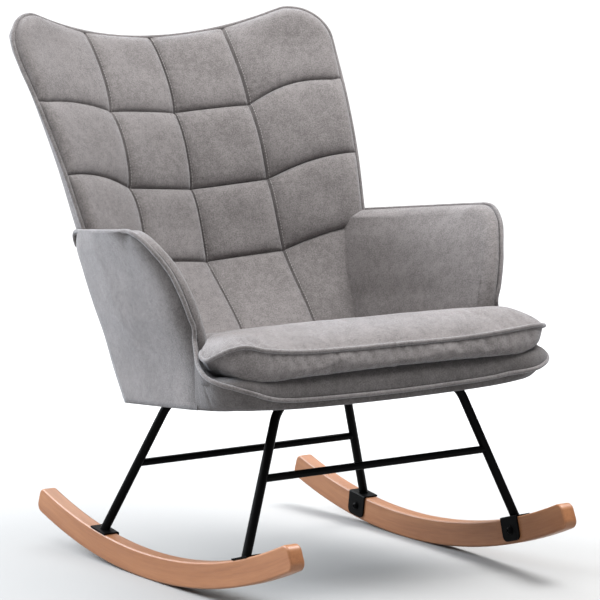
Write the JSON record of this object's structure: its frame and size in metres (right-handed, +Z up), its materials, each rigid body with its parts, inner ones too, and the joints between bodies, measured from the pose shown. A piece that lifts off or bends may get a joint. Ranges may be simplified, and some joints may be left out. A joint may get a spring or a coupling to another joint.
{
  "type": "rocking chair",
  "caption": "Upholstered wing-back rocking chair: quilted back, padded arms and a loose seat cushion on black bent-tube legs with wooden rockers.",
  "frame": {"origin": "on the floor under the middle of the chair, where the two rockers touch it", "axes": "+Z up, the sitter faces -Y, +X is the sitter's left-hand side; X = 0 is the plane of symmetry"},
  "size_m": [0.7484, 0.9008, 0.9523],
  "materials": {
    "rocker_wood": "clear satin lacquer on pale warm timber",
    "black_steel": "satin black powder coat",
    "zinc_steel": "zinc plated",
    "frame_wood": "raw softwood and plywood, hidden",
    "dust_cloth": "black non-woven cloth",
    "upholstery": "woven cloth, warm mid grey",
    "piping_cloth": "cord covered with the same cloth",
    "cushion_filling": "foam and fibre filling, hidden"
  },
  "bodies": {
    "chair": {"rocker_left": "rocker_wood", "rocker_right": "rocker_wood", "front_leg_frame": "black_steel", "rear_leg_frame": "black_steel", "front_crossbar": "black_steel", "rear_crossbar": "black_steel", "bracket_front_left": "black_steel", "bracket_front_right": "black_steel", "bracket_rear_left": "black_steel", "bracket_rear_right": "black_steel", "rocker_bolts": "black_steel", "rocker_washers": "black_steel", "rocker_inserts": "zinc_steel", "mount_bar_left": "black_steel", "mount_bar_right": "black_steel", "dust_cover": "dust_cloth", "front_rail": "frame_wood", "rear_rail": "frame_wood", "side_rail_left": "frame_wood", "side_rail_right": "frame_wood", "corner_blocks": "frame_wood", "seat_screws": "zinc_steel", "seat_washers": "zinc_steel", "tee_nuts": "zinc_steel", "seat_springs": "zinc_steel", "spring_clips": "zinc_steel", "back_screws": "zinc_steel", "arm_screws": "zinc_steel", "back_board": "frame_wood", "back_pad": "upholstery", "back_cover": "upholstery", "back_piping": "piping_cloth", "arm_cover_left": "upholstery", "arm_cover_right": "upholstery", "arm_board_left": "frame_wood", "arm_board_right": "frame_wood", "arm_pad_left": "upholstery", "arm_pad_right": "upholstery", "shell_piping": "piping_cloth", "front_apron": "upholstery", "seat_pad": "upholstery"},
    "cushion": {"cushion_core": "cushion_filling", "cushion_cover": "upholstery", "cushion_piping": "piping_cloth"}
  },
  "joints": [
    {"name": "cushion_lift", "type": "slide", "parent": "chair", "child": "cushion", "axis": [0, 0, 1], "range_m": [0, 0.15]}
  ]
}
